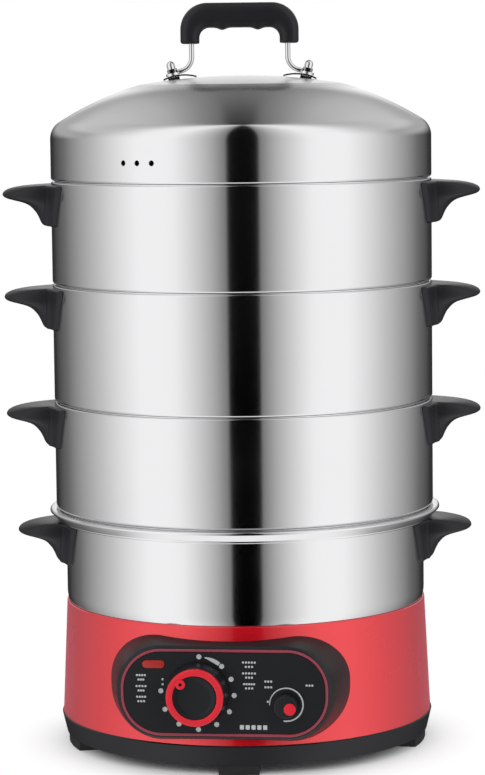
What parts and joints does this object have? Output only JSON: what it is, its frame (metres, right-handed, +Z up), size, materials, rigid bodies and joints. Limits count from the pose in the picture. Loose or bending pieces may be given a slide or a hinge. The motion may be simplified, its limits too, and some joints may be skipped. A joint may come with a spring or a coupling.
{
  "type": "electric food steamer",
  "caption": "Free-standing electric food steamer: heated base with a dial panel and water pot, stacked lift-off steel tiers with side handles, and a domed lid with a bail grip.",
  "frame": {"origin": "middle of the footprint, on the surface the feet stand on", "axes": "+Z up the stack, front with the control panel towards -Y, side handles along X"},
  "size_m": [0.377, 0.3256, 0.584],
  "materials": {
    "steel": "satin",
    "bright_steel": "polished",
    "red_paint": "semi-gloss",
    "bright_red": "gloss",
    "trim_red": "satin",
    "lens_red": "gloss",
    "black_plastic": "satin",
    "panel_black": "gloss",
    "bezel_grey": "satin",
    "aluminium": "plain",
    "ceramic": "matte",
    "rubber_black": "matte",
    "wire_brown": "satin",
    "lamp_glass": "clear",
    "scale_print": "print"
  },
  "bodies": {
    "base": {"bottom_cover": "black_plastic", "feet": "rubber_black", "foot_screws": "bright_steel", "housing": "red_paint", "panel_bezel": "bezel_grey", "panel_trim": "trim_red", "panel_face": "panel_black", "lamp_lens": "lens_red", "neon_lamp": "lamp_glass", "timer_case": "aluminium", "selector_case": "ceramic", "pot": "steel", "pot_handle_left": "black_plastic", "pot_handle_right": "black_plastic", "pot_handle_screws": "bright_steel", "heating_plate": "aluminium", "heating_element": "steel", "thermostat": "ceramic", "thermostat_clip": "steel", "thermal_fuse": "ceramic", "heat_shield": "aluminium", "pot_studs": "bright_steel", "stud_spacers": "aluminium", "stud_nuts": "bright_steel", "terminal_block": "ceramic", "inlet_socket": "black_plastic", "inlet_pins": "bright_steel", "inlet_screws": "bright_steel", "inner_wires": "wire_brown"},
    "timer": {"timer_knob": "black_plastic", "timer_ring": "bright_red", "timer_cap": "black_plastic", "timer_pointer": "bright_red", "timer_shaft": "bright_steel"},
    "selector": {"selector_knob": "black_plastic", "selector_dot": "bright_red", "selector_shaft": "bright_steel"},
    "lower_tier": {"lower_tier": "steel", "lower_handle_left": "black_plastic", "lower_handle_right": "black_plastic", "lower_handle_screws": "bright_steel", "lower_steam_plate": "bright_steel"},
    "middle_tier": {"middle_tier": "steel", "middle_handle_left": "black_plastic", "middle_handle_right": "black_plastic", "middle_handle_screws": "bright_steel", "middle_steam_plate": "bright_steel"},
    "upper_tier": {"upper_tier": "steel", "upper_handle_left": "black_plastic", "upper_handle_right": "black_plastic", "upper_handle_screws": "bright_steel", "upper_steam_plate": "bright_steel"},
    "lid": {"lid_shell": "steel", "lid_wire": "bright_steel", "lid_grip": "black_plastic", "lid_spacers": "rubber_black", "lid_saddles": "bright_steel", "lid_bolts": "bright_steel", "lid_nuts": "bright_steel"}
  },
  "joints": [
    {"name": "lower_tier_lift", "type": "slide", "parent": "base", "child": "lower_tier", "axis": [0, 0, 1], "range_m": [0, 0.1]},
    {"name": "middle_tier_lift", "type": "slide", "parent": "lower_tier", "child": "middle_tier", "axis": [0, 0, 1], "range_m": [0, 0.1]},
    {"name": "upper_tier_lift", "type": "slide", "parent": "middle_tier", "child": "upper_tier", "axis": [0, 0, 1], "range_m": [0, 0.1]},
    {"name": "lid_lift", "type": "slide", "parent": "upper_tier", "child": "lid", "axis": [0, 0, 1], "range_m": [0, 0.12]},
    {"name": "timer_turn", "type": "hinge", "parent": "base", "child": "timer", "pos_m": [-0.03728, -0.14095, 0.065], "axis": [0.1132, 0.9936, 0], "range_deg": [0, 318]},
    {"name": "selector_turn", "type": "hinge", "parent": "base", "child": "selector", "pos_m": [0.02939, -0.14855, 0.057], "axis": [0.1132, 0.9936, 0], "range_deg": [-203, 67]}
  ]
}
